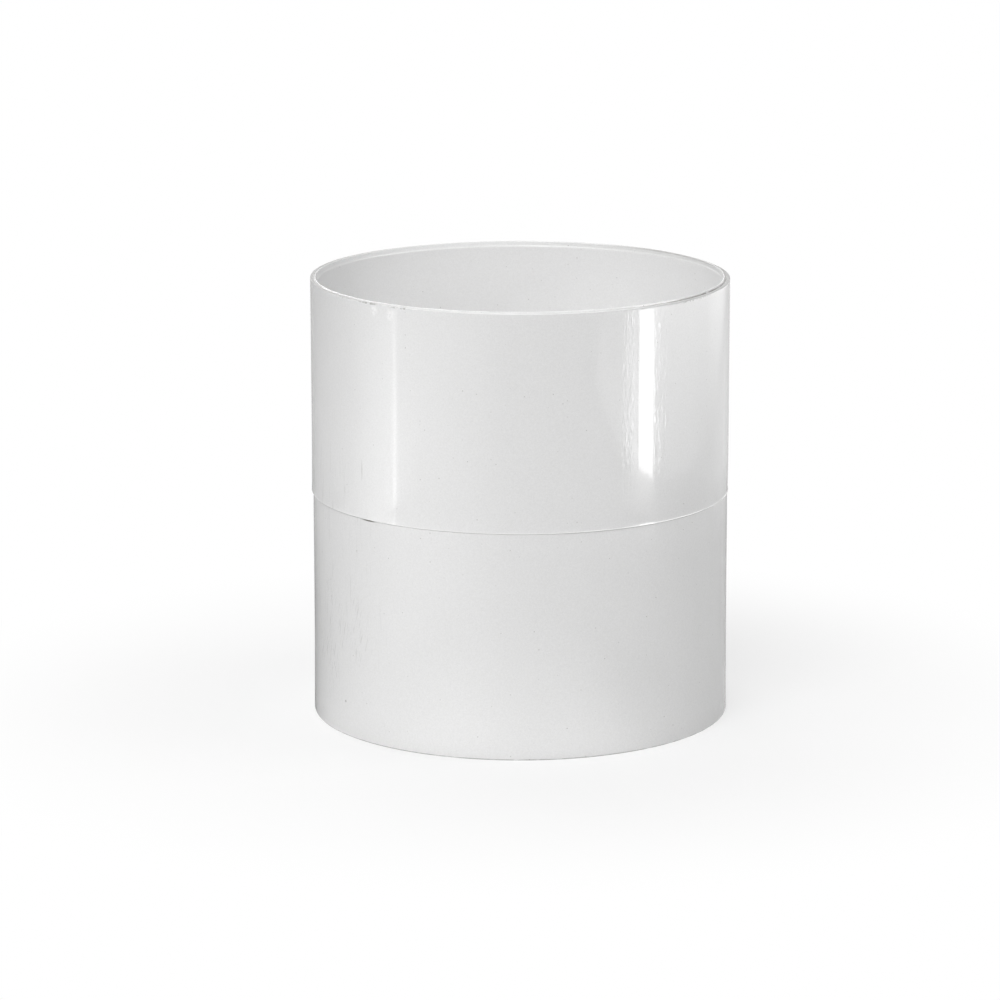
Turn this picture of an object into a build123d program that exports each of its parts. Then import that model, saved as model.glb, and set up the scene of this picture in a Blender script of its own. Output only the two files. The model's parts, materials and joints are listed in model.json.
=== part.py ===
from build123d import *

import os

# Straight PVC coupling for rainwater pipe: one moulded sleeve with a pipe socket at each end.
# The origin is the centre of the lower mouth, on the surface that the coupling stands on, and +Z is its axis.
# Lengths are in millimetres.

# Sockets
pipe_diameter = 80.0  # outside diameter of the pipe that each socket takes
socket_clearance = 0.2  # gap between the pipe and the socket wall, on the radius
socket_depth = 43.0  # from the mouth to the pipe stop
wall = 1.4  # wall thickness at the mouths

# Pipe stop, the ridge inside that both pipes butt against
stop_width = 2.0  # along the axis
stop_height = 1.2  # how far it stands in from the socket wall
stop_crest_bevel = 0.4

# Mouths
lead_in_width = 0.4  # how much the lead-in taper opens the mouth, on the radius
lead_in_depth = 1.0  # how far the taper reaches into the socket
rim_round = 0.25  # outer corner of each rim

# Outside wall
waist_sink = 0.15  # the wall draws in this much at the thick stop, where the moulding shrinks most
flash_height = 0.2  # raised line of flash where the two halves of the mould meet
flash_width = 0.5

# Sizes that follow from those above
bore_radius = pipe_diameter / 2 + socket_clearance
outer_radius = bore_radius + wall
waist_radius = outer_radius - waist_sink
stop_radius = bore_radius - stop_height
mouth_radius = bore_radius + lead_in_width
length = 2 * socket_depth + stop_width
stop_bottom = socket_depth
stop_top = socket_depth + stop_width
parting_height = stop_top  # the mould parts level with the upper face of the stop


def outside_edges():
    """Outer corner of the lower rim, the flash line on the waist, and the outer corner of the upper rim."""
    return [
        (outer_radius, 0),
        (waist_radius, parting_height - flash_width / 2),
        (waist_radius + flash_height, parting_height),
        (waist_radius, parting_height + flash_width / 2),
        (outer_radius, length),
    ]


def inside_edges():
    """Upper lead-in and socket, the pipe stop, and the lower socket and lead-in, from the top down."""
    return [
        (mouth_radius, length),
        (bore_radius, length - lead_in_depth),
        (bore_radius, stop_top),
        (stop_radius, stop_top),
        (stop_radius, stop_bottom),
        (bore_radius, stop_bottom),
        (bore_radius, lead_in_depth),
        (mouth_radius, 0),
    ]


def corners_at(sketch, points):
    """The section's corners that lie on the given points."""
    return [sketch.vertices().sort_by_distance((r, z))[0] for r, z in points]


def wall_section():
    """Half of the coupling's lengthwise section, as a sketch whose x is the radius and y the height."""
    section = make_face(Polyline(*outside_edges(), *inside_edges(), close=True))
    section = fillet(corners_at(section, [(outer_radius, 0), (outer_radius, length)]), rim_round)
    crest = corners_at(section, [(stop_radius, stop_top), (stop_radius, stop_bottom)])
    return chamfer(crest, stop_crest_bevel)


def coupling_body():
    """The whole moulding: its section turned about the pipe axis."""
    return revolve(Plane.XZ * wall_section(), Axis.Z, 360)


os.makedirs("parts", exist_ok=True)
export_step(coupling_body(), "parts/coupling_body.step")
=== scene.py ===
import json
import math

import bpy
from mathutils import Euler, Matrix, Vector


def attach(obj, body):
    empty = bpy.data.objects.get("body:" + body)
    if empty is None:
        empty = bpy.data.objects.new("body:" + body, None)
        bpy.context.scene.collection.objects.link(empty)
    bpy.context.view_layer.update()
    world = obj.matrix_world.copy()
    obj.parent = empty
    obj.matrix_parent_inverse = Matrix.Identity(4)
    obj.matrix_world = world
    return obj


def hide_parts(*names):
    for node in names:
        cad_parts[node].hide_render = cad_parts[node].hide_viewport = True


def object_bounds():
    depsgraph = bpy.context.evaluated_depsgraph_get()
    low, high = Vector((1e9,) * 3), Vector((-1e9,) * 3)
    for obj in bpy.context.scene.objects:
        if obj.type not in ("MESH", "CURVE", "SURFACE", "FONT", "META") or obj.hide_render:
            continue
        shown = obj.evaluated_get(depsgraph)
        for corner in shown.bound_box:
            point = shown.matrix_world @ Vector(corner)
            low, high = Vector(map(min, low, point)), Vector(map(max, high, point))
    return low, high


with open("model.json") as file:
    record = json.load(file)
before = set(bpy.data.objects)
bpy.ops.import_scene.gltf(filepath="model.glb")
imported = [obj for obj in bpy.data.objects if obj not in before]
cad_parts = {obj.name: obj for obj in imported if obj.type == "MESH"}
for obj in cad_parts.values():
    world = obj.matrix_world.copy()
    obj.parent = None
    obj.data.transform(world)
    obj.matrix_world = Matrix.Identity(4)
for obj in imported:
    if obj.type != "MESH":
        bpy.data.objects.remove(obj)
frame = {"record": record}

# A white PVC pipe coupling, stood on its end on a pale table.
# Lengths are in metres, and MM turns millimetres into them. Turns are in degrees from the front towards +X.
MM = 0.001

# Sizes read from the frame
cad_low, cad_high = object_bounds()
mounts = {mount["name"]: mount for mount in frame["record"]["mounts"]}


def socket_span(name):
    """Lowest and highest end of a socket's straight wall."""
    middle = mounts[name]["pos_m"][2]
    half = mounts[name]["dims"]["length_mm"] * MM / 2
    return middle - half, middle + half


BORE = mounts["upper_socket"]["dims"]["r_mm"] * MM
LENGTH = cad_high.z
LEAD_IN_BOTTOM, STOP_BOTTOM = socket_span("lower_socket")
STOP_TOP, LEAD_IN_TOP = socket_span("upper_socket")
MOULD_LINE = STOP_TOP

# Wall of the moulding
SEGMENTS = 512
WALL = 1.4 * MM
WALL_MARGIN = 0.04 * MM  # room for the faults of the moulding inside the wall's true size
OUTSIDE = BORE + WALL - WALL_MARGIN
OUTER_SKIN = OUTSIDE - 0.6 * MM  # points farther out than this are on the outside
WAIST = OUTSIDE - 0.15 * MM
HOLLOW = 0.1 * MM  # how far the lower wall bows in
SINK = 0.05 * MM  # dip of the wall beside the mould line
SINK_REACH = 3.5 * MM
UPPER_SINK_SHARE = 0.3  # the dip above the line, as a share of the one below it
STOP_CREST = BORE - 1.2 * MM
STOP_BEVEL = 0.4 * MM

# Heights of the wall's rings above and below the mould line, in shares of the half length
WALL_STEPS = (0.013, 0.022, 0.033, 0.046, 0.064, 0.085, 0.11, 0.145, 0.19, 0.26, 0.36, 0.48, 0.62, 0.76, 0.9)
TOP_STEP = 0.98

# Mould halves out of line, and the lean of the upper one, which is spread over its lowest rings
MOULD_SHIFT = 0.06 * MM
TOP_LEAN = 0.12 * MM
LEAN_STEPS = 11
RING_MARGIN = 0.02 * MM

# Flash along the mould line, and the nick under it
FLASH_PROUD = 0.018 * MM
FLASH_HALF = 0.17 * MM
FLASH_UNEVENNESS = 0.02 * MM
FLASH_GRAIN = 3 * MM
NICK_TURNS = (-48, -42.5)
NICK_DEPTH = 0.08 * MM

# Rims: the lower one is rounded, the upper one is cut flat and has a burr on its inner edge
ROUND_STEPS = 4
RIM_ROUND = 0.25 * MM
CUT_ROUND = 0.1 * MM
BURR_HEIGHT = 0.4 * MM
BURR_MARGIN = 0.03 * MM
RIM_FLAT = LENGTH - BURR_HEIGHT - BURR_MARGIN
RIM_SLANT = 0.0036  # radians, so that the flat is higher on the left
RIM_REACH = 0.75 * MM  # how far below the top the rim's points lie
BURR_SIDE = BORE + 0.39 * MM
BURR_FOOT = BORE + 0.47 * MM
BURR_LEAN = 0.05 * MM
BURR_LEAN_STEPS = (-0.2 * MM, 0.08 * MM)  # heights above the flat from which the burr leans
BURR_BAND = (BORE + 0.13 * MM, BORE + 0.5 * MM)
BURR_UNEVENNESS = 0.05 * MM
BURR_GRAIN = 2.5 * MM
CREASE = 35  # degrees, past which an edge stays sharp

# Section of the upper rim, from its flat over the groove and the burr:
# millimetres out from the bore and up from the flat
RIM_SECTION = (
    (0.95, 0), (0.66, 0),
    (0.62, -0.05), (0.55, -0.08), (0.48, -0.04),
    (0.42, 0.1), (0.4, 0.24), (0.37, 0.33), (0.33, 0.38), (0.28, 0.4), (0.22, 0.395), (0.18, 0.36), (0.16, 0.28),
    (0.15, 0.15), (0.14, 0), (0.13, -0.15), (0.12, -0.3), (0.11, -0.4), (0.1, -0.47),
)

# Soft end of the upper lead-in: millimetres out from the bore, up from where the lead-in ends
LEAD_IN_SECTION = ((0.08, 0.02), (0.02, -0.13), (0.005, -0.2), (0, -0.4))

# Lower mouth: millimetres out from the bore and up from the table
LOWER_MOUTH_SECTION = ((0.38, 0.05), (0.45, 0))

# Camera, worked out from the outline in the photograph
CAMERA_PLACE = (0, -876.9 * MM, 242.5 * MM)
CAMERA_PITCH = math.radians(12.865)
CAMERA_TURN = 0.00456
CAMERA_ROLL = -0.0017
CAMERA_LENS = 161.64
CAMERA_SENSOR = 36

# Colours of the plastic with its painted light (a lighter bore and a paler painted highlight), of the dirt and
# painted shade on it, and of the table near and far from the coupling
PVC_OUTSIDE = (0.835, 0.835, 0.835, 1)
# Painted light: the bore is painted lighter than the outside, and its left side lighter still
PVC_INSIDE_PAINTED_LIGHT = (0.885, 0.885, 0.885, 1)
PVC_INSIDE_LEFT_PAINTED_LIGHT = (0.95, 0.95, 0.95, 1)
# Painted highlight: a paler colour for the bright lines and glints on the burr, lead-in, front of the rim's flat
# and flash
PVC_PAINTED_HIGHLIGHT = (0.95, 0.95, 0.95, 1)
# Colour that both the dirt and the painted shade darken towards
GRIME_AND_PAINTED_SHADE = (0.2, 0.19, 0.17, 1)
TABLE_NEAR = (0.83, 0.83, 0.83, 1)
TABLE_FAR = (0.25, 0.25, 0.25, 1)
WHITE = (1, 1, 1, 1)

# How much of the grime's colour each kind of mark and painted shade takes
SPECK_SHADE = 0.5
SCUFF_SHADE = 0.2
# Strength of the dirt and painted shade: the groove, the nick's painted shadow, the other marks and the painted
# contact shadow
DIRT_AND_PAINTED_SHADE = 0.75
# Painted contact shadow along the edge the coupling stands on
FOOT_PAINTED_SHADOW = 0.8
MOTTLE_SHADE = 0.055
GRAIN_SHADE = 0.075
# Painted shade on the sides of the rim's flat
FLAT_PAINTED_SHADE = 0.18
# Painted shade: a dark outline along the far edge of the upper rim
BACK_EDGE_PAINTED_SHADE = 0.3
# Painted shade on the lead-in at the right back
LEAD_IN_PAINTED_SHADE = 0.08

# Gloss of the plastic, and the depth of its fine relief
PVC_IOR = 1.53
POLISH = (0.03, 0.07)
INSIDE_DULLNESS = 0.33
SCUFF_DULLNESS = 0.2
DRAWN_RELIEF = 0.0022 * MM
PEEL_RELIEF = 0.002 * MM
COMB_RELIEF = 0.07 * MM
SCUFF_RELIEF = 0.04 * MM
GLINT_COMBING = 2

# Dark marks on the outside wall, the first a painted shadow in the nick under the flash and the rest dirt and
# scratches: turn, height, half width and half height of the mark in millimetres, strength
MARKS = (
    # Painted shadow in the nick under the flash
    (-45.3, 44.78, 2.5, 0.22, 1.4),
    (-56, 6.9, 0.35, 0.35, 0.9),
    (-67.1, 37.2, 0.3, 0.3, 0.6),
    (-47.5, 54.6, 0.25, 2.5, 0.3),
    (-55.2, 49.6, 0.2, 1.4, 0.25),
    (-50.5, 34.7, 0.25, 2, 0.25),
)

# Painted highlight patches under the rim, also combed in the relief: turn, millimetres below the top, half width
# and half height
PAINTED_GLINT_MARKS = (
    (-42.3, 1.5, 1.2, 1.3),
    (-36.7, 2, 1.1, 1.4),
)

# Broken dark marks along the edge of the upper rim: turn, millimetres below the top, half sizes, strength
RIM_MARKS = (
    (-44.4, 0.32, 3.6, 0.2, 0.7),
    (-33.2, 0.38, 3.4, 0.2, 0.7),
    (55, 0.65, 8, 0.2, 0.5),
    (-55.3, 0.35, 0.7, 0.3, 0.6),
)

# Scuffed side of the wall: streaks over most of its height, and leaning scratches lower down
SCUFF_TURN = -60
STREAK_AREA = (SCUFF_TURN, 35, 18, 34)
SCRATCH_AREA = (SCUFF_TURN, 21, 16, 17)
SCRATCH_LEAN = 15

# Upright bands of worn polish: turns at which they start, are full and end, added roughness
WORN_BANDS = (
    (27.5, 28.5, 31.9, 0.02),
    (38.2, 38.4, 43, 0.01),
)
WORN_BAND_EDGE = 0.23
WORN_BAND_FOOT = (5, 11)  # millimetres above the mould line over which the bands fade in

# Soft boxes: azimuth from the camera's side, elevation, watts
SOFT_BOXES = {
    "front_light": (-20, 40, 15.9),
    "left_light": (-55, 33, 4.8),
    "right_light": (85, 28, 7.7),
    "back_light": (180, 30, 3.4),
    "left_back_light": (-150, 35, 6.1),
}
BOX_DISTANCE = 1.5
BOX_SIZE = 0.8

# Cards that the gloss mirrors: two corners, then stops of glow sideways and outward, whose product is the glow.
# A standing card's stops run along y and z in millimetres, a lying one's by turn and by distance from the axis.
CARDS = {
    "right_strip": {
        "low": (0.253, -0.1295, 0),
        "high": (0.253, -0.0825, 0.06),
        "sideways": ((-130, 10), (-82, 10)),
        "outward": ((0, 0.4), (2, 1), (60, 1)),
    },
    "strip_foot": {
        "low": (0.2, -0.15, 0.0006),
        "high": (0.253, -0.06, 0.0006),
        "sideways": ((50, 1.5), (60, 1.7), (64, 2.3), (71, 2.3), (75, 1.7), (80, 1.6)),
        "outward": ((205, 0.8), (235, 0.95), (255, 1.3), (290, 1.8)),
    },
    "right_strip_edge": {
        "low": (0.253, -0.3, 0),
        "high": (0.253, -0.1295, 0.06),
        "sideways": ((-300, 1.7), (-190, 2.3), (-172, 3.4), (-135, 5), (-133.5, 1.5), (-129, 1.5)),
        "outward": ((0, 1.2), (15, 1.15), (35, 1), (60, 0.95)),
    },
    "right_card": {
        "low": (0.26, -0.12, 0),
        "high": (0.26, 0.6, 0.06),
        "sideways": ((-120, 5.5), (-76, 5.5), (-60, 4.6), (43, 4), (115, 3.3), (300, 2.9), (600, 2.5)),
        "outward": ((0, 0.56), (20, 0.78), (38, 1), (60, 1.3)),
    },
    "left_card": {
        "low": (-0.229, -0.4, 0),
        "high": (-0.229, 0.6, 0.06),
        "sideways": (
            (-400, 0.7), (-180, 1.4), (-112, 2), (-105, 2.6), (-100, 4.8), (-96, 4.8), (-93, 3), (-56, 2.3),
            (-22, 1.8), (16, 1.1), (62, 0.78), (190, 0.55), (600, 0.5),
        ),
        "outward": ((0, 1), (17, 1), (28, 0.85), (60, 0.5)),
    },
    "ground_left": {
        "low": (-0.7, -0.7, 0.0004),
        "high": (0, 0.7, 0.0004),
        "sideways": (
            (0, 0.4), (10, 0.4), (30, 0.75), (60, 1), (80, 0.6), (95, 0.42), (115, 0.42), (132, 0.49),
            (150, 0.42), (180, 0.4),
        ),
        "outward": ((42, 0.58), (100, 0.56), (130, 0.72), (170, 0.95), (300, 1.3), (700, 1.3)),
    },
    "ground_right": {
        "low": (0, -0.7, 0.0004),
        "high": (0.7, 0.7, 0.0004),
        "sideways": (
            (0, 0.4), (10, 0.4), (30, 0.6), (60, 1.05), (110, 1.1), (137, 0.88), (149, 0.67), (157, 0.5),
            (180, 0.36),
        ),
        "outward": ((42, 0.56), (60, 0.56), (100, 0.68), (180, 0.95), (250, 1.5), (330, 1.7), (700, 1.9)),
    },
    "ground_front": {
        "low": (-0.09, -0.13, 0.0006),
        "high": (0.09, -0.03, 0.0006),
        "sideways": ((0, 0.7), (15, 0.9), (30, 0.8), (45, 0.4), (90, 0.3)),
        "outward": ((42, 1.8), (76, 1.5), (100, 1), (130, 0.7), (170, 0.6)),
    },
}

# Table: its size, where it fades into the white surround, and where it turns darker for bounced light
TABLE_SIZE = 8
TABLE_FADE = (0.04, 0.13)
TABLE_FADE_START = 0.68
TABLE_DARKENS = (0.22, 0.32)


def deselect_all():
    """Leaves nothing selected and no object in edit mode."""
    if bpy.context.object and bpy.context.object.mode != "OBJECT":
        bpy.ops.object.mode_set(mode="OBJECT")
    bpy.ops.object.select_all(action="DESELECT")


def polar(place):
    """Radius, height and turn of a place."""
    return math.hypot(place.x, place.y), place.z, math.degrees(math.atan2(place.x, -place.y))


def select_points(piece, wanted):
    """In edit mode, selects the points whose radius, height and turn pass the test."""
    bpy.ops.mesh.select_all(action="DESELECT")
    bpy.ops.object.mode_set(mode="OBJECT")
    for point in piece.data.vertices:
        point.select = wanted(*polar(point.co))
    bpy.ops.object.mode_set(mode="EDIT")


def near(value, target):
    """True if two lengths agree to a hundredth of a millimetre."""
    return abs(value - target) < 0.01 * MM


def corner(radius, height, rounding, first, last):
    """Rings round a rounded corner about a centre, from one angle to another in degrees."""
    angles = [math.radians(first + (last - first) * step / ROUND_STEPS) for step in range(ROUND_STEPS + 1)]
    return [(radius + rounding * math.cos(angle), height + rounding * math.sin(angle)) for angle in angles]


def section_rings(section, height):
    """Rings of a section that is given in millimetres out from the bore and up from a height."""
    return [(BORE + out * MM, height + up * MM) for out, up in section]


def wall_ring(height):
    """Radius and height of a ring on the outside wall, straight above the mould line and drawn in below it."""
    sink = SINK * math.exp(-((height - MOULD_LINE) / SINK_REACH) ** 2)
    if height > MOULD_LINE:
        return OUTSIDE - UPPER_SINK_SHARE * sink, height
    share = 1 - height / MOULD_LINE
    return WAIST + (OUTSIDE - WAIST) * share - HOLLOW * 4 * share * (1 - share) - sink, height


def flash_rings():
    """The step from the lower half of the mould up to the flash, and over it to the upper half."""
    under, foot = wall_ring(MOULD_LINE - FLASH_HALF)
    over, head = wall_ring(MOULD_LINE + FLASH_HALF)
    crest = over + FLASH_PROUD
    return [
        (under, foot),
        ((under + crest) / 2, MOULD_LINE - 0.5 * FLASH_HALF),
        (crest, MOULD_LINE - 0.1 * FLASH_HALF),
        (crest, MOULD_LINE + 0.1 * FLASH_HALF),
        (over + 0.5 * FLASH_PROUD, MOULD_LINE + 0.45 * FLASH_HALF),
        (over, head),
    ]


def outside_rings():
    """Radius and height of each ring up the outside, from the lower rim to just under the upper one."""
    rings = corner(OUTSIDE - RIM_ROUND, RIM_ROUND, RIM_ROUND, -90, -10)
    rings += [wall_ring(MOULD_LINE * (1 - share)) for share in reversed(WALL_STEPS)]
    rings += flash_rings()
    rings += [wall_ring(MOULD_LINE + (LENGTH - MOULD_LINE) * share) for share in WALL_STEPS + (TOP_STEP,)]
    return rings


def upper_rim_rings():
    """Outer corner and flat of the rim, the groove beside the burr, the burr and the lead-in under it."""
    rings = corner(OUTSIDE - CUT_ROUND, RIM_FLAT - CUT_ROUND, CUT_ROUND, 0, 90)
    return rings + section_rings(RIM_SECTION, RIM_FLAT)


def inside_rings():
    """Upper lead-in and socket, the pipe stop, and the lower socket and lead-in, from the top down."""
    rings = section_rings(LEAD_IN_SECTION, LEAD_IN_TOP)
    rings += [(BORE, LEAD_IN_TOP + (STOP_TOP - LEAD_IN_TOP) * share) for share in (0.02, 0.25, 0.5, 0.75, 1)]
    rings += [
        (STOP_CREST + STOP_BEVEL, STOP_TOP),
        (STOP_CREST, STOP_TOP - STOP_BEVEL),
        (STOP_CREST, STOP_BOTTOM + STOP_BEVEL),
        (STOP_CREST + STOP_BEVEL, STOP_BOTTOM),
        (BORE, STOP_BOTTOM),
    ]
    rings += [(BORE, STOP_BOTTOM + (LEAD_IN_BOTTOM - STOP_BOTTOM) * share) for share in (0.25, 0.5, 0.75, 1)]
    return rings + section_rings(LOWER_MOUTH_SECTION, 0)


def mould_sleeve():
    """The whole moulding: one ring extruded up the outside, over the rim and down the inside, then closed."""
    rings = outside_rings() + upper_rim_rings() + inside_rings()
    radius, height = rings[0]
    deselect_all()
    bpy.ops.mesh.primitive_circle_add(vertices=SEGMENTS, radius=radius, location=(0, 0, height))
    bpy.ops.object.transform_apply(location=True)
    piece = bpy.context.object
    piece.name = "moulded_sleeve"
    bpy.ops.object.mode_set(mode="EDIT")
    for next_radius, next_height in rings[1:]:
        bpy.ops.mesh.extrude_edges_move(TRANSFORM_OT_translate={"value": (0, 0, next_height - height)})
        spread = next_radius / radius
        bpy.ops.transform.resize(value=(spread, spread, 1), center_override=(0, 0, next_height))
        radius, height = next_radius, next_height
    ends = rings[0], rings[-1]
    select_points(piece, lambda r, z, turn: any(near(r, end[0]) and near(z, end[1]) for end in ends))
    bpy.ops.mesh.bridge_edge_loops()
    bpy.ops.mesh.select_all(action="SELECT")
    bpy.ops.mesh.normals_make_consistent(inside=False)
    bpy.ops.object.mode_set(mode="OBJECT")
    return piece


def shift_mould_halves(piece):
    """Moves the two mould halves apart sideways, and leans the upper one back over its lowest rings."""
    bpy.ops.object.mode_set(mode="EDIT")
    select_points(piece, lambda r, z, turn: r > OUTER_SKIN and z < MOULD_LINE)
    bpy.ops.transform.translate(value=(MOULD_SHIFT, 0, 0))
    select_points(piece, lambda r, z, turn: r > OUTER_SKIN and z > MOULD_LINE)
    bpy.ops.transform.translate(value=(-MOULD_SHIFT, 0, 0))
    for share in WALL_STEPS[:LEAN_STEPS]:
        foot = MOULD_LINE + (LENGTH - MOULD_LINE) * share - RING_MARGIN
        select_points(piece, lambda r, z, turn: r > OUTER_SKIN and z > foot)
        bpy.ops.transform.translate(value=(TOP_LEAN / LEAN_STEPS, 0, 0))
    bpy.ops.object.mode_set(mode="OBJECT")


def cut_nick(piece):
    """Presses a short nick into the wall just under the flash."""
    low, high = MOULD_LINE - 0.6 * FLASH_HALF, MOULD_LINE - 0.05 * FLASH_HALF
    first, last = NICK_TURNS
    bpy.ops.object.mode_set(mode="EDIT")
    select_points(piece, lambda r, z, turn: r > OUTER_SKIN and low < z < high and first < turn < last)
    cut = 1 - NICK_DEPTH / OUTSIDE
    bpy.ops.transform.resize(value=(cut, cut, 1), center_override=(0, 0, MOULD_LINE))
    bpy.ops.object.mode_set(mode="OBJECT")


def slant_rim(piece):
    """Slants the flat of the upper rim, and the side of the burr by half as much, and leans the burr."""
    rim_bottom = LENGTH - RIM_REACH
    bpy.ops.object.mode_set(mode="EDIT")
    for low, high, slant in ((BURR_FOOT, BORE + 2 * MM, RIM_SLANT), (BURR_SIDE, BURR_FOOT, RIM_SLANT / 2)):
        select_points(piece, lambda r, z, turn: low < r < high and z > rim_bottom)
        bpy.ops.transform.rotate(value=-slant, orient_axis="Y", center_override=(OUTSIDE, 0, RIM_FLAT))
    for step in BURR_LEAN_STEPS:
        select_points(piece, lambda r, z, turn: r < BURR_FOOT and z > RIM_FLAT + step)
        bpy.ops.transform.translate(value=(-BURR_LEAN / len(BURR_LEAN_STEPS), 0, 0))
    bpy.ops.object.mode_set(mode="OBJECT")


def roughen(piece, name, wanted, grain, depth):
    """Makes the points that pass the test slightly uneven, as a moulding's edges are."""
    group = piece.vertex_groups.new(name=name)
    group.add([point.index for point in piece.data.vertices if wanted(*polar(point.co))], 1, "REPLACE")
    clouds = bpy.data.textures.new(name, "CLOUDS")
    clouds.noise_scale = grain
    clouds.noise_depth = 2
    bpy.context.view_layer.objects.active = piece
    bpy.ops.object.modifier_add(type="DISPLACE")
    uneven = piece.modifiers[-1]
    uneven.texture = clouds
    uneven.texture_coords = "LOCAL"
    uneven.vertex_group = name
    uneven.strength = depth
    bpy.ops.object.modifier_apply(modifier=uneven.name)


def finish_sleeve(piece):
    """The small faults of the moulding: mould halves out of line, nick, slanted rim, uneven flash and burr."""
    shift_mould_halves(piece)
    cut_nick(piece)
    slant_rim(piece)
    flash_reach = 0.6 * FLASH_HALF
    burr_inner, burr_outer = BURR_BAND
    burr_bottom = LENGTH - MM
    on_flash = lambda r, z, turn: r > OUTER_SKIN and abs(z - MOULD_LINE) < flash_reach
    on_burr = lambda r, z, turn: burr_inner < r < burr_outer and z > burr_bottom
    roughen(piece, "flash", on_flash, FLASH_GRAIN, FLASH_UNEVENNESS)
    roughen(piece, "burr", on_burr, BURR_GRAIN, BURR_UNEVENNESS)
    bpy.ops.object.shade_smooth_by_angle(angle=math.radians(CREASE))


def new_material(name):
    """A material with its Principled shader, ready for nodes."""
    material = bpy.data.materials.new(name)
    material.use_nodes = True
    return material, material.node_tree, material.node_tree.nodes["Principled BSDF"]


def node(tree, kind, inputs=None, **settings):
    """Adds a node, sets its properties, and gives each input a value or a link from another node."""
    made = tree.nodes.new("ShaderNode" + kind)
    for key, value in settings.items():
        setattr(made, key, value)
    for socket, value in (inputs or {}).items():
        if isinstance(value, bpy.types.NodeSocket):
            tree.links.new(value, made.inputs[socket])
        else:
            made.inputs[socket].default_value = value
    return made


def ramp(tree, source, start, end, low=0.0, high=1.0):
    """Turns a value into low at the start and high at the end, and holds it there beyond them."""
    limits = {"Value": source, "From Min": start, "From Max": end, "To Min": low, "To Max": high}
    return node(tree, "MapRange", limits).outputs["Result"]


def maths(tree, operation, *terms):
    """Result of a Math node on sockets and numbers."""
    return node(tree, "Math", dict(enumerate(terms)), operation=operation).outputs[0]


def fold(tree, operation, first, *others):
    """Sum, product or largest of several sockets and numbers."""
    for other in others:
        first = maths(tree, operation, first, other)
    return first


def vector_length(tree, vector):
    """Length of a vector."""
    return node(tree, "VectorMath", {0: vector}, operation="LENGTH").outputs["Value"]


def mix(tree, share, first, second):
    """Colour between two, each a colour or a link."""
    return node(tree, "Mix", {0: share, 6: first, 7: second}, data_type="RGBA").outputs[2]


def noise(tree, place, stretch, scale, detail):
    """Noise on a stretched place in millimetres."""
    mapped = node(tree, "Mapping", {"Scale": stretch, "Vector": place}).outputs[0]
    return node(tree, "TexNoise", {"Scale": scale, "Detail": detail, "Vector": mapped}).outputs["Fac"]


def even_noise(tree, place, scale, detail):
    """Noise that looks alike in every direction."""
    return noise(tree, place, (1, 1, 1), scale, detail)


def object_millimetres(tree):
    """Object coordinates in millimetres, whole and as axes."""
    here = node(tree, "TexCoord").outputs["Object"]
    place = node(tree, "Mapping", {"Scale": (1 / MM, 1 / MM, 1 / MM), "Vector": here}).outputs[0]
    return place, node(tree, "SeparateXYZ", {0: place}).outputs


class WallSpot:
    """Where a point of the plastic lies, as links in millimetres and degrees."""

    def __init__(self, tree):
        self.place, axes = object_millimetres(tree)
        self.x, self.y, self.z = axes["X"], axes["Y"], axes["Z"]
        across = node(tree, "CombineXYZ", {"X": self.x, "Y": self.y}).outputs[0]
        self.out = maths(tree, "SUBTRACT", vector_length(tree, across), BORE / MM)
        self.below = maths(tree, "SUBTRACT", LENGTH / MM, self.z)
        ahead = maths(tree, "MULTIPLY", self.y, -1)
        self.turn = maths(tree, "MULTIPLY", maths(tree, "ARCTAN2", self.x, ahead), math.degrees(1))
        self.aside = maths(tree, "ABSOLUTE", self.turn)
        self.inside = ramp(tree, self.out, 0.3, 0.2)
        self.flat = self.rim_flat(tree)

    def rim_flat(self, tree):
        """The slanted flat of the upper rim, 1 on it."""
        slanted = maths(tree, "MULTIPLY", maths(tree, "SUBTRACT", self.x, OUTSIDE / MM), RIM_SLANT)
        under = maths(tree, "SUBTRACT", self.below, slanted)
        return fold(tree, "MULTIPLY", ramp(tree, self.out, 0.6, 0.66), ramp(tree, under, 0.54, 0.48))


def dab(tree, place, turn, height, half_width, half_height):
    """Soft-edged spot on the outside wall, 1 in its middle."""
    angle = math.radians(turn)
    middle = Vector((math.sin(angle), -math.cos(angle), 0)) * OUTSIDE / MM + Vector((0, 0, height))
    shrink = 1 / half_width, 1 / half_width, 1 / half_height
    offset = node(tree, "VectorMath", {0: place, 1: middle}, operation="SUBTRACT").outputs[0]
    shares = node(tree, "VectorMath", {0: offset, 1: shrink}, operation="MULTIPLY").outputs[0]
    return ramp(tree, vector_length(tree, shares), 1, 0.3)


def rim_dab(tree, place, turn, below, half_width, half_height):
    """Spot on the outside wall, placed by how far it is below the top."""
    return dab(tree, place, turn, LENGTH / MM - below, half_width, half_height)


def grit_specks(tree, place):
    """Specks of grit in the plastic, a few of them dark."""
    grit = node(tree, "TexVoronoi", {"Scale": 1.1, "Vector": place})
    kinds = node(tree, "SeparateColor", {0: grit.outputs["Color"]}).outputs
    chosen = ramp(tree, kinds[0], 0.88, 1)
    return maths(tree, "MULTIPLY", ramp(tree, grit.outputs["Distance"], 0.16, 0.07), chosen)


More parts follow.
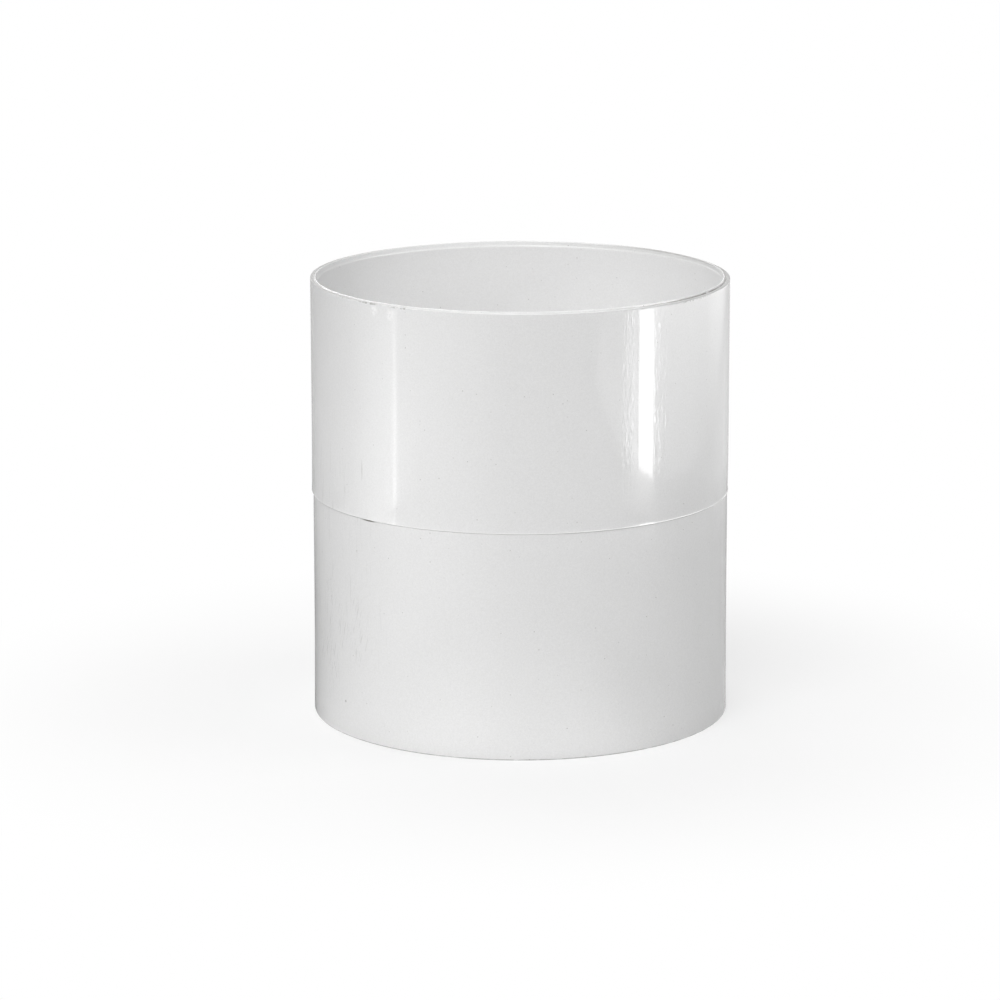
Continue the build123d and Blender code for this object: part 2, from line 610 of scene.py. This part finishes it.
def leaning_scratches(tree, place):
    """Fine scratches in clumps, leaning from upright as seen on the scuffed side."""
    turn, lean = math.radians(SCUFF_TURN), math.radians(SCRATCH_LEAN)
    sideways, upright = Vector((math.cos(turn), math.sin(turn), 0)), Vector((0, 0, 1))
    along = upright * math.cos(lean) + sideways * math.sin(lean)
    across = sideways * math.cos(lean) - upright * math.sin(lean)
    ways = [
        node(tree, "VectorMath", {0: place, 1: way}, operation="DOT_PRODUCT").outputs["Value"]
        for way in (across, along)
    ]
    leaning = node(tree, "CombineXYZ", {"X": ways[0], "Y": ways[1]}).outputs[0]
    leaning = node(tree, "Mapping", {"Scale": (2.8, 0.3, 1), "Vector": leaning}).outputs[0]
    waves = node(tree, "TexNoise", {"Scale": 1, "Detail": 2, "Distortion": 0.5, "Vector": leaning}).outputs["Fac"]
    clumps = ramp(tree, noise(tree, place, (1, 1, 0.6), 0.17, 2), 0.42, 0.55)
    return maths(tree, "MULTIPLY", ramp(tree, waves, 0.58, 0.7), clumps)


def side_scuffs(tree, place):
    """Upright streaks and leaning scratches on the scuffed side of the wall."""
    streaks = ramp(tree, noise(tree, place, (2, 2, 0.1), 1, 4), 0.6, 0.78)
    streaked = maths(tree, "MULTIPLY", streaks, dab(tree, place, *STREAK_AREA))
    scratched = maths(tree, "MULTIPLY", leaning_scratches(tree, place), dab(tree, place, *SCRATCH_AREA))
    return maths(tree, "ADD", streaked, scratched)


def settled_dirt_and_painted_shade(tree, spot, right_side, blotches):
    """Dirt and painted shade in the groove of the upper rim, broken dark marks along its outer edge, single spots
    with a painted shadow in the nick, and painted contact shadow along the edge it stands on.
    """
    patchy = ramp(tree, even_noise(tree, spot.place, 0.35, 3), 0.3, 0.5)
    # Dirt and painted shade in the groove beside the burr, heavier on the right
    groove = fold(
        tree, "MULTIPLY", ramp(tree, spot.out, 0.34, 0.4), ramp(tree, spot.out, 0.64, 0.58),
        ramp(tree, spot.below, 0.14, 0.22), ramp(tree, spot.below, 0.7, 0.6), patchy, right_side)
    # Painted contact shadow along the edge the coupling stands on
    foot = fold(
        tree, "MULTIPLY", ramp(tree, spot.z, 0.28, 0.12), ramp(tree, spot.out, 0.8, 1), patchy, FOOT_PAINTED_SHADOW)
    broken = ramp(tree, blotches, 0.47, 0.57)
    kinds = [groove, foot]
    # The first mark is a painted shadow in the nick under the flash
    for *mark, strength in MARKS:
        kinds.append(maths(tree, "MULTIPLY", dab(tree, spot.place, *mark), strength))
    for *mark, strength in RIM_MARKS:
        kinds.append(fold(tree, "MULTIPLY", rim_dab(tree, spot.place, *mark), strength, broken))
    return fold(tree, "MAXIMUM", *kinds)


def grime_and_painted_shade_share(tree, spot, scuffs, blotches):
    """How much of the grime's colour shows: specks, scuffs, dirt and painted shade, uneven skin, and painted
    shade on the rim's flat, its far edge and the far lead-in.
    """
    right_side = ramp(tree, spot.turn, 26, 57.5, 0.12, 1)
    # Painted shade: the rim's flat darker on the sides than at the front
    flat_sides_painted_shade = maths(tree, "MULTIPLY", spot.flat, ramp(tree, spot.aside, 28.5, 57.5, 0, FLAT_PAINTED_SHADE))
    # Painted shade: dark outline along the far rim's edge, stronger on the right
    back_edge_painted_shade = fold(
        tree, "MULTIPLY", ramp(tree, spot.aside, 100.5, 111.5),
        ramp(tree, spot.aside, 154.5, 137.5, 0, BACK_EDGE_PAINTED_SHADE),
        right_side, ramp(tree, spot.below, 0.4, 0.25))
    # Painted shade: the lead-in at the right back darker
    back_lead_in_painted_shade = fold(
        tree, "MULTIPLY", ramp(tree, spot.x, 5, 25, 0, LEAD_IN_PAINTED_SHADE), ramp(tree, spot.y, 0, 5),
        ramp(tree, spot.below, 1.3, 1.1))
    return fold(
        tree, "ADD",
        maths(tree, "MULTIPLY", grit_specks(tree, spot.place), SPECK_SHADE),
        maths(tree, "MULTIPLY", scuffs, SCUFF_SHADE),
        maths(tree, "MULTIPLY", settled_dirt_and_painted_shade(tree, spot, right_side, blotches), DIRT_AND_PAINTED_SHADE),
        ramp(tree, even_noise(tree, spot.place, 2.2, 2), 0.25, 0.75, 0, MOTTLE_SHADE),
        ramp(tree, even_noise(tree, spot.place, 5, 1), 0.25, 0.75, 0, GRAIN_SHADE),
        flat_sides_painted_shade, back_edge_painted_shade, back_lead_in_painted_shade)


def plastic_and_painted_light(tree, spot, glints, blotches):
    """Colour under the dirt and painted shade: the bore painted lighter, and a paler painted highlight on the
    burr, lead-in, front of the flat, flash and the patches under the rim.
    """
    # Painted light: the bore lighter than the outside, and lighter still towards its left side
    bore = mix(tree, ramp(tree, spot.x, 5, -30), PVC_INSIDE_PAINTED_LIGHT, PVC_INSIDE_LEFT_PAINTED_LIGHT)
    base_plastic = mix(tree, spot.inside, PVC_OUTSIDE, bore)
    # Painted highlight on the lead-in at the left back
    lead_in = maths(tree, "MULTIPLY", ramp(tree, spot.below, 1.1, 0.9), ramp(tree, spot.x, 12, -8))
    # Painted highlight along the top of the burr, weaker on the left
    top = maths(tree, "MULTIPLY", ramp(tree, spot.below, 0.3, 0.24), ramp(tree, spot.turn, -74.5, -40, 0.2, 1))
    burr = maths(tree, "MULTIPLY", maths(tree, "MAXIMUM", lead_in, top), ramp(tree, spot.out, 0.48, 0.42))
    # Painted highlight along the flash of the mould line
    from_line = maths(tree, "ABSOLUTE", maths(tree, "SUBTRACT", spot.z, MOULD_LINE / MM))
    flash = maths(tree, "MULTIPLY", ramp(tree, from_line, 0.14, 0.06), ramp(tree, spot.out, 1.1, 1.2))
    # Painted highlight on the front part of the rim's flat
    flat_front = maths(tree, "MULTIPLY", spot.flat, ramp(tree, spot.aside, 51.5, 28.5))
    # Painted highlight patches under the rim, broken up by noise
    glinting = ramp(tree, blotches, 0.38, 0.5)
    pale = [maths(tree, "MULTIPLY", glint, glinting) for glint in glints]
    return mix(tree, fold(tree, "MAXIMUM", burr, flat_front, flash, *pale), base_plastic, PVC_PAINTED_HIGHLIGHT)


def worn_bands(tree, spot):
    """The upright bands of worn polish, each 1 where it is full."""
    start, full = WORN_BAND_FOOT
    upper = ramp(tree, spot.z, MOULD_LINE / MM + start, MOULD_LINE / MM + full)
    streaks = ramp(tree, noise(tree, spot.place, (2.6, 2.6, 0.35), 1, 3), 0.38, 0.5)
    return [
        fold(
            tree, "MULTIPLY", ramp(tree, spot.turn, band_start, band_full),
            ramp(tree, spot.turn, band_end, band_end - WORN_BAND_EDGE), upper, streaks)
        for band_start, band_full, band_end, roughness in WORN_BANDS
    ]


def roughness(tree, spot, scuffs, drawn, bands):
    """Polished outside with fine draw lines, duller inside, in the scuffs and in the worn bands."""
    worn = [maths(tree, "MULTIPLY", band, values[-1]) for band, values in zip(bands, WORN_BANDS)]
    return fold(
        tree, "ADD",
        maths(tree, "MULTIPLY", spot.inside, INSIDE_DULLNESS),
        maths(tree, "MULTIPLY", scuffs, SCUFF_DULLNESS),
        *worn,
        ramp(tree, drawn, 0.3, 0.7, *POLISH))


def fine_relief(tree, place, scuffs, drawn, combing):
    """Relief too fine for the mesh: draw lines, a slightly uneven skin, combing and scuffs."""
    lines = node(tree, "Bump", {"Distance": DRAWN_RELIEF, "Height": drawn}).outputs[0]
    peel = even_noise(tree, place, 0.9, 2)
    skin = node(tree, "Bump", {"Distance": PEEL_RELIEF, "Height": peel, "Normal": lines}).outputs[0]
    facets = noise(tree, place, (1.8, 1.8, 0.6), 1, 1)
    combed = {"Distance": COMB_RELIEF, "Height": facets, "Strength": combing, "Normal": skin}
    combed = node(tree, "Bump", combed).outputs[0]
    scuffed = {"Distance": SCUFF_RELIEF, "Strength": 1, "Height": scuffs, "Normal": combed}
    return node(tree, "Bump", scuffed, invert=True).outputs[0]


def white_pvc():
    """Glossy white PVC as it comes from the mould, with specks, draw lines, scuffs and dirt, and with painted
    shade, painted highlights and a bore painted lighter.
    """
    material, tree, shader = new_material("white_pvc")
    shader.inputs["IOR"].default_value = PVC_IOR
    spot = WallSpot(tree)
    scuffs = side_scuffs(tree, spot.place)
    blotches = even_noise(tree, spot.place, 1.7, 2)
    # Spots of painted highlight under the rim, also combed in the relief
    glints = [rim_dab(tree, spot.place, *mark) for mark in PAINTED_GLINT_MARKS]
    plastic_and_highlights = plastic_and_painted_light(tree, spot, glints, blotches)
    # Dirt and painted shade darken the colour towards the grime's
    colour = mix(tree, grime_and_painted_shade_share(tree, spot, scuffs, blotches), plastic_and_highlights, GRIME_AND_PAINTED_SHADE)
    tree.links.new(colour, shader.inputs["Base Color"])
    drawn = noise(tree, spot.place, (1, 1, 0.012), 2.4, 3)
    bands = worn_bands(tree, spot)
    tree.links.new(roughness(tree, spot, scuffs, drawn, bands), shader.inputs["Roughness"])
    tree.links.new(ramp(tree, spot.flat, 0, 1, 0.5, 0), shader.inputs["Specular IOR Level"])
    combing = fold(tree, "ADD", *bands, *[maths(tree, "MULTIPLY", glint, GLINT_COMBING) for glint in glints])
    tree.links.new(fine_relief(tree, spot.place, scuffs, drawn, combing), shader.inputs["Normal"])
    return material


def white_where_seen(tree, plain, white, share=1.0):
    """Mixes a shader with a white one that only the camera and mirrored rays see."""
    rays = node(tree, "LightPath").outputs
    seen = fold(tree, "MAXIMUM", rays["Is Camera Ray"], rays["Is Glossy Ray"], rays["Is Transmission Ray"])
    return node(tree, "MixShader", {"Fac": maths(tree, "MULTIPLY", seen, share), 1: plain, 2: white}).outputs[0]


def pale_table():
    """Matte white table top. Away from the coupling it fades into the white surround and bounces less light."""
    material, tree, shader = new_material("pale_table")
    shader.inputs["Roughness"].default_value = 0.9
    shader.inputs["Specular IOR Level"].default_value = 0
    away = vector_length(tree, node(tree, "TexCoord").outputs["Object"])
    colour = node(tree, "ValToRGB", {"Fac": away})
    for step, place, tone in zip(colour.color_ramp.elements, TABLE_DARKENS, (TABLE_NEAR, TABLE_FAR)):
        step.position = place
        step.color = tone
    tree.links.new(colour.outputs["Color"], shader.inputs["Base Color"])
    limits = {"Value": away, "From Min": TABLE_FADE[0], "From Max": TABLE_FADE[1], "To Min": TABLE_FADE_START}
    fade = node(tree, "MapRange", limits, interpolation_type="SMOOTHSTEP").outputs["Result"]
    white = node(tree, "Emission", {"Color": WHITE, "Strength": 1}).outputs[0]
    mixed = white_where_seen(tree, shader.outputs[0], white, fade)
    tree.links.new(mixed, tree.nodes["Material Output"].inputs["Surface"])
    return material


def lay_table():
    """Plain table top under the coupling."""
    deselect_all()
    bpy.ops.mesh.primitive_plane_add(size=TABLE_SIZE)
    table = bpy.context.object
    table.name = "table"
    table.data.materials.append(pale_table())


def soft_box(name, azimuth, elevation, power):
    """A soft box that faces the coupling, with its azimuth counted from the camera's side towards +X."""
    turn, tilt = math.radians(azimuth), math.radians(elevation)
    aim = Vector((0, 0, LENGTH / 2))
    away = Vector((math.sin(turn) * math.cos(tilt), -math.cos(turn) * math.cos(tilt), math.sin(tilt)))
    deselect_all()
    bpy.ops.object.light_add(type="AREA", location=aim + away * BOX_DISTANCE)
    lamp = bpy.context.object
    lamp.name = name
    lamp.data.shape = "SQUARE"
    lamp.data.size = BOX_SIZE
    lamp.data.energy = power
    lamp.rotation_euler = (-away).to_track_quat("-Z", "Y").to_euler()
    lamp.visible_camera = False


def glow_band(tree, value, stops):
    """Glow that runs through the stops of a value, up to the highest of them."""
    first, last = stops[0][0], stops[-1][0]
    highest = max(level for stop, level in stops)
    band = node(tree, "ValToRGB", {"Fac": ramp(tree, value, first, last)})
    steps = band.color_ramp.elements
    while len(steps) < len(stops):
        steps.new(0.5)
    for step, (stop, level) in zip(steps, stops):
        step.position = (stop - first) / (last - first)
        step.color = (level / highest, level / highest, level / highest, 1)
    return maths(tree, "MULTIPLY", band.outputs["Color"], highest)


def card_glow(name, stands, sideways, outward):
    """Glowing paint for a card, by place on a standing one and by turn and distance on a lying one."""
    material = bpy.data.materials.new(name)
    material.use_nodes = True
    tree = material.node_tree
    tree.nodes.clear()
    place, axes = object_millimetres(tree)
    if stands:
        one_way, other_way = axes["Y"], axes["Z"]
    else:
        aside = maths(tree, "ABSOLUTE", axes["X"])
        ahead = maths(tree, "MULTIPLY", axes["Y"], -1)
        one_way = maths(tree, "MULTIPLY", maths(tree, "ARCTAN2", aside, ahead), math.degrees(1))
        other_way = vector_length(tree, place)
    glow = maths(tree, "MULTIPLY", glow_band(tree, one_way, sideways), glow_band(tree, other_way, outward))
    emission = node(tree, "Emission", {"Color": WHITE, "Strength": glow})
    node(tree, "OutputMaterial", {"Surface": emission.outputs[0]})
    material.cycles.emission_sampling = "NONE"
    return material


def reflection_card(name, low, high, sideways, outward):
    """Card that shows only in reflections. It stands if its corners share an x, or else lies flat."""
    low, high = Vector(low), Vector(high)
    stands = low.x == high.x
    tilt = math.radians(90 if stands else 0)
    deselect_all()
    bpy.ops.mesh.primitive_plane_add(size=1, location=(low + high) / 2, rotation=(0, tilt, 0))
    card = bpy.context.object
    card.name = name
    card.scale = (high.z - low.z if stands else high.x - low.x, high.y - low.y, 1)
    bpy.ops.object.transform_apply(location=True, rotation=True, scale=True)
    card.data.materials.append(card_glow(name, stands, sideways, outward))
    card.visible_camera = card.visible_diffuse = card.visible_shadow = False
    card.visible_transmission = card.visible_volume_scatter = False


def white_surround():
    """World that is white to the camera and in reflections, and adds no light of its own."""
    world = bpy.data.worlds.new("white_surround")
    bpy.context.scene.world = world
    world.use_nodes = True
    tree = world.node_tree
    dark = tree.nodes["Background"]
    dark.inputs["Strength"].default_value = 0
    white = node(tree, "Background", {"Color": WHITE, "Strength": 1}).outputs[0]
    mixed = white_where_seen(tree, dark.outputs[0], white)
    tree.links.new(mixed, tree.nodes["World Output"].inputs["Surface"])


def studio():
    """Soft light, low cards that the gloss mirrors, and a white surround."""
    for name, values in SOFT_BOXES.items():
        soft_box(name, *values)
    for name, values in CARDS.items():
        reflection_card(name, **values)
    white_surround()


def place_camera():
    """Camera at the photograph's viewing angle."""
    aim = Euler((math.pi / 2 - CAMERA_PITCH, 0, CAMERA_TURN)).to_matrix() @ Matrix.Rotation(CAMERA_ROLL, 3, "Z")
    deselect_all()
    bpy.ops.object.camera_add(location=CAMERA_PLACE, rotation=aim.to_euler())
    camera = bpy.context.object
    camera.data.sensor_width = CAMERA_SENSOR
    camera.data.lens = CAMERA_LENS
    bpy.context.scene.camera = camera


sleeve = mould_sleeve()
finish_sleeve(sleeve)
sleeve.data.materials.append(white_pvc())
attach(sleeve, "root")
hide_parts("coupling_body")
lay_table()
studio()
place_camera()
bpy.context.scene.view_settings.view_transform = "Standard"
